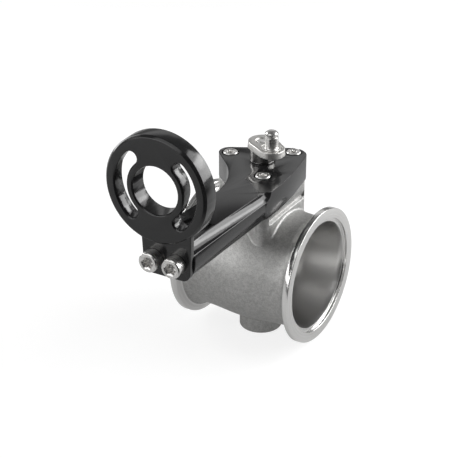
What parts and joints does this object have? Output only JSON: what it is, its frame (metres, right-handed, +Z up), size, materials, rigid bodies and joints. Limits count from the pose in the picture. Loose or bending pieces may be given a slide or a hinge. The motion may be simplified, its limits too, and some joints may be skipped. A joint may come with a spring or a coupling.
{
  "type": "turbo wastegate",
  "caption": "Butterfly turbo wastegate: short V-band tube with a cross shaft and lever, and a bracket whose arm carries a slotted ring for an actuator.",
  "frame": {"origin": "centre of the inlet V-band flange's face, on the tube's axis", "axes": "+X along the tube out of the inlet, +Z up along the valve shaft's direction, -Y along the bracket's arm towards the actuator ring"},
  "size_m": [0.0694, 0.145, 0.1506],
  "materials": {
    "cast_stainless": "blasted",
    "machined_stainless": "machined",
    "cast_lever": "satin",
    "screw_steel": "bright",
    "black_anodised": "gloss",
    "gasket_steel": "satin",
    "bronze": "satin",
    "graphite": "matte",
    "copper": "satin"
  },
  "bodies": {
    "housing": {"valve_housing": "cast_stainless", "boss_plug": "machined_stainless", "pad_gasket": "gasket_steel", "actuator_bracket": "black_anodised", "actuator_mount_ring": "black_anodised", "bracket_screw_left": "screw_steel", "bracket_screw_back": "screw_steel", "bracket_screw_front": "screw_steel", "ring_screw_left": "screw_steel", "ring_screw_right": "screw_steel", "upper_bush": "bronze", "lower_bush": "bronze", "gland_seal": "graphite", "bracket_bush": "bronze", "plug_seal": "copper", "lever_washer": "machined_stainless"},
    "shaft_group": {"valve_shaft": "machined_stainless", "butterfly_plate": "machined_stainless", "plate_screw_upper": "screw_steel", "plate_screw_lower": "screw_steel", "lever_arm": "cast_lever", "lever_pin": "machined_stainless"}
  },
  "joints": [
    {"name": "valve_turn", "type": "hinge", "parent": "housing", "child": "shaft_group", "pos_m": [-0.035, 0, 0.058], "axis": [0, 0, 1], "range_deg": [0, 80]}
  ]
}
